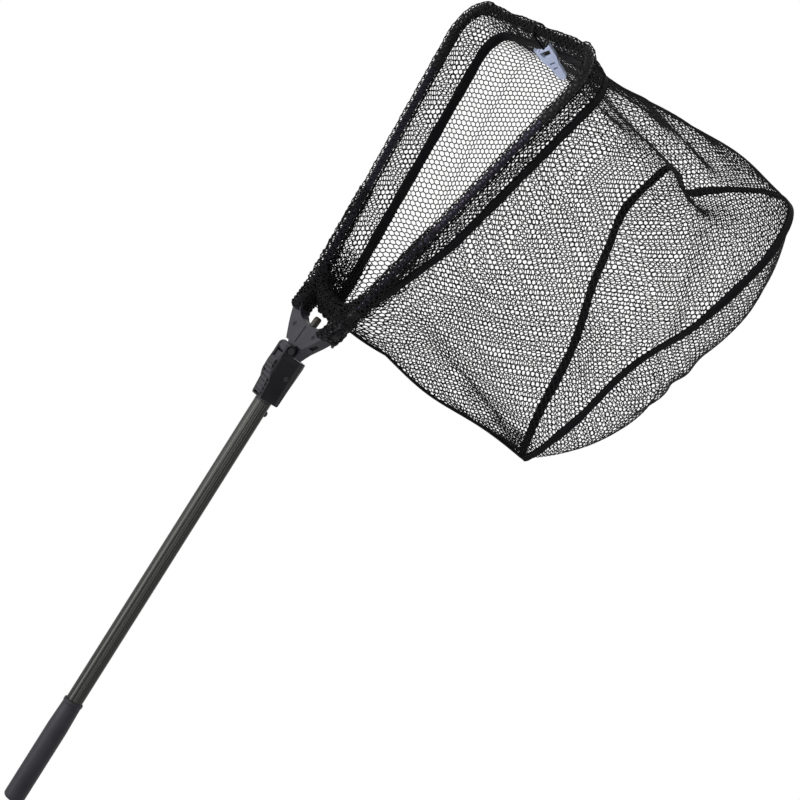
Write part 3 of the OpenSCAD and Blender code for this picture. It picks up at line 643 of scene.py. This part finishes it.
hem_flat = np.stack([follow(hem_line, turn_t, 1), follow(hem_line, turn_t, 2)], 1)
pouch = round_loop(loop_sharp, turn_t)
pouch[:, 0] += -0.008 + (pouch[:, 0] - apex_x) / (far_x - apex_x) * 0.036
hem_angle, hem_reach, hem_turn = by_angle(hem_flat)
pouch_angle, pouch_reach, pouch_turn = by_angle(pouch)
share = np.linspace(0, 1, 400)
rise = np.sqrt(1 + (3 * belly_deep / 0.16 * share**2) ** 2)
flat_share = np.concatenate([[0], np.cumsum((rise[1:] + rise[:-1]) / 2)])
stretch = flat_share[-1] / 399
flat_share /= flat_share[-1]


def belly_at(u, v):
    x, y = (u - 0.5) * 0.64, (v - 0.5) * 0.64
    angle = np.arctan2(y, x)
    edge = np.interp(angle, hem_angle, hem_reach, period=2 * math.pi)
    far = np.interp(angle, pouch_angle, pouch_reach, period=2 * math.pi)
    far = np.maximum(far, edge)
    out = np.hypot(x, y) / (far * stretch)
    s = np.interp(np.clip(out, 0, 1), flat_share, share)
    near_hem = np.clip((s - 0.72) / 0.28, 0, 1)
    reach = s * (far + (edge - far) * near_hem**2 * (3 - 2 * near_hem))
    px = middle_x + reach * np.cos(angle)
    py = reach * np.sin(angle)
    sink = belly_deep * (1 - s**3) + 0.003 * np.sin(38 * px) * np.cos(46 * py) * (1 - s)
    sink = sink + 0.0022 * np.sin(9 * angle + 4 * s) * np.sin(math.pi * s)
    t = np.interp(angle, pouch_angle, np.cos(2 * math.pi * 5 * pouch_turn + 0.6 - math.pi / 2), period=2 * math.pi)
    return leaned(np.stack([px, py, -bag_deep - sink + 0.003 * t * s], -1)), out


a, b, n, u, v = netting(lambda u, v: belly_at(u, v)[0], 212, 122, False, 11)
inside = belly_at(u, v)[1] < 1.0
points, faces = thread_mesh(a[inside], b[inside], n[inside], 0.00125, 0.0009)
belly_net = solid("belly_net", points, faces, net_black, "head")
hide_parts("belly_panel")
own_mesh(belly_net)

# TAPES. Black woven tapes are folded over the joins in the netting and stitched through: one just
# under the hoop, one at the hem, and one down the apex below the fork.
tape_black = finish("tape_black", (0.0015, 0.0015, 0.002), (0.004, 0.004, 0.005), (0.55, 0.75), 1300, 0.5, shine=0.06)
thread_grey = finish("thread_grey", (0.008, 0.008, 0.008), (0.016, 0.016, 0.017), (0.5, 0.7), 1500, 0.3, shine=0.1)


def tape_mesh(rings, closed):
    points = np.stack(rings, 1)
    steps, m = points.shape[:2]
    i, j = np.meshgrid(np.arange(steps if closed else steps - 1), np.arange(m), indexing="ij")
    i, j = i.ravel(), j.ravel()
    k, l = (i + 1) % steps, (j + 1) % m
    return points.reshape(-1, 3), np.stack([i * m + j, k * m + j, k * m + l, i * m + l], 1)


# Across the tape from edge to edge, and how far each line of it stands off the netting.
tape_section = [(-1, -0.0004), (-1.02, 0.0006), (-0.75, 0.0014), (0, 0.0018), (0.75, 0.0014), (1.02, 0.0006), (1, -0.0004)]
tape_section += [(0.75, -0.0012), (0, -0.0015), (-0.75, -0.0012)]


def loop_tape(name, depth, node, wide):
    steps = 760
    t = np.arange(steps) / steps
    at = bag_at(t, depth)
    along = np.roll(at, -2, 0) - np.roll(at, 2, 0)
    along /= np.linalg.norm(along, axis=1)[:, None]
    down = bag_at(t, depth) - bag_at(t, depth - 0.006)
    down -= along * (down * along).sum(1)[:, None]
    down = sum(np.roll(down, s, 0) for s in range(-4, 5))
    down /= np.linalg.norm(down, axis=1)[:, None]
    out = np.cross(down, along)
    swell = 1 + 0.05 * np.sin(2 * math.pi * 17 * t) + 0.04 * np.sin(2 * math.pi * 41 * t)

    def line(across, lift):
        return at + down * (across * wide / 2 * swell)[:, None] + out * lift

    points, faces = tape_mesh([line(a, l) for a, l in tape_section], True)
    tape = solid(name, points, faces, tape_black, "head")
    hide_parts(node)
    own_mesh(tape)
    starts, ends = [], []
    for across in (-0.7, 0.7):
        for lift in (0.0015, -0.0013):
            q = line(across, lift)
            starts.append(q)
            ends.append(q + (np.roll(q, -1, 0) - q) * 0.7)
    points, faces = thread_mesh(np.concatenate(starts), np.concatenate(ends), np.tile(out, (4, 1)), 0.0006, 0.0006)
    stitches = solid(name + "_stitches", points, faces, thread_grey, "head")
    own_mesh(stitches)


loop_tape("seam_tape_woven", seam_z, "seam_tape", tape_wide)
loop_tape("hem_tape_woven", bag_deep, "hem_tape", 0.0104)

depths = np.linspace(seam_z - 0.004, bag_deep - 0.002, 170)
spine = bag_at(np.zeros(170), depths)
spine_out = leaned(np.array([-1.0, 0.0, 0.0])) - leaned(np.zeros(3))
rings = [spine + np.array([0.0, a * 0.0034, 0.0]) + spine_out * l for a, l in tape_section]
points, faces = tape_mesh(rings, False)
apex_tape = solid("apex_tape_woven", points, faces, tape_black, "head")
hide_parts("apex_tape")
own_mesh(apex_tape)

# STOW CLIP. A short woven strap loops over the far side's cord and holds a pale blue-grey plastic
# clip, which hooks the folded net to the handle.
clip_plastic = finish("clip_plastic", (0.36, 0.41, 0.56), (0.46, 0.51, 0.66), (0.34, 0.5), 420, 0.25)
paint(clip_plastic, "stow_clip")
soften(0.0006, "stow_clip")
paint(tape_black, "clip_strap")
